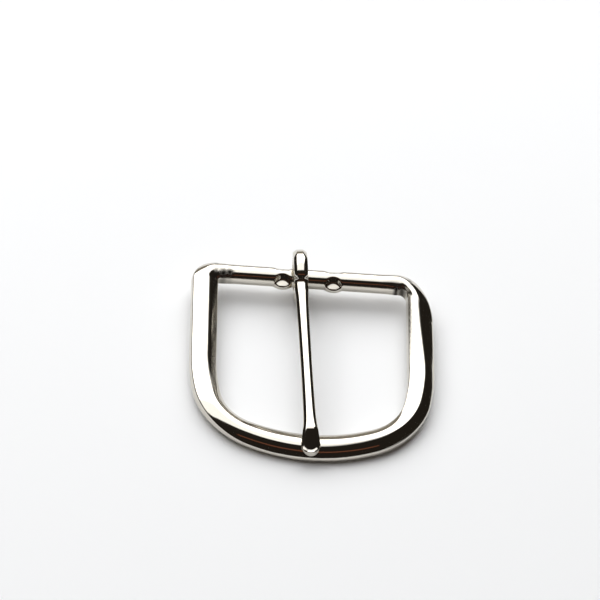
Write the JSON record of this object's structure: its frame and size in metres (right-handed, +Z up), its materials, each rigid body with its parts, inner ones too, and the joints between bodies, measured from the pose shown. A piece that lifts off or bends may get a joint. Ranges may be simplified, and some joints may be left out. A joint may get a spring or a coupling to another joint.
{
  "type": "belt buckle",
  "caption": "Solid cast heel-bar belt buckle: D-shaped half-round frame with a round strap bar, and a pivoting tongue held between two staked stops.",
  "frame": {"origin": "middle of the bounding box, on the table that the buckle lies on", "axes": "+X along the strap bar, +Y from the front bar to the strap bar, +Z up out of the front face; the buckle leans about 3 degrees, with its heel raised by the eye of the tongue"},
  "size_m": [0.0522, 0.0552, 0.0115],
  "materials": {
    "frame_nickel": "polished nickel plate on cast brass",
    "tongue_nickel": "polished nickel plate on brass"
  },
  "bodies": {
    "frame": {"frame": "frame_nickel"},
    "tongue": {"tongue": "tongue_nickel"}
  },
  "joints": [
    {"name": "tongue_hinge", "type": "hinge", "parent": "frame", "child": "tongue", "pos_m": [0, 0.02208, 0.00459], "axis": [-1, 0, 0], "range_deg": [0, 345]}
  ]
}
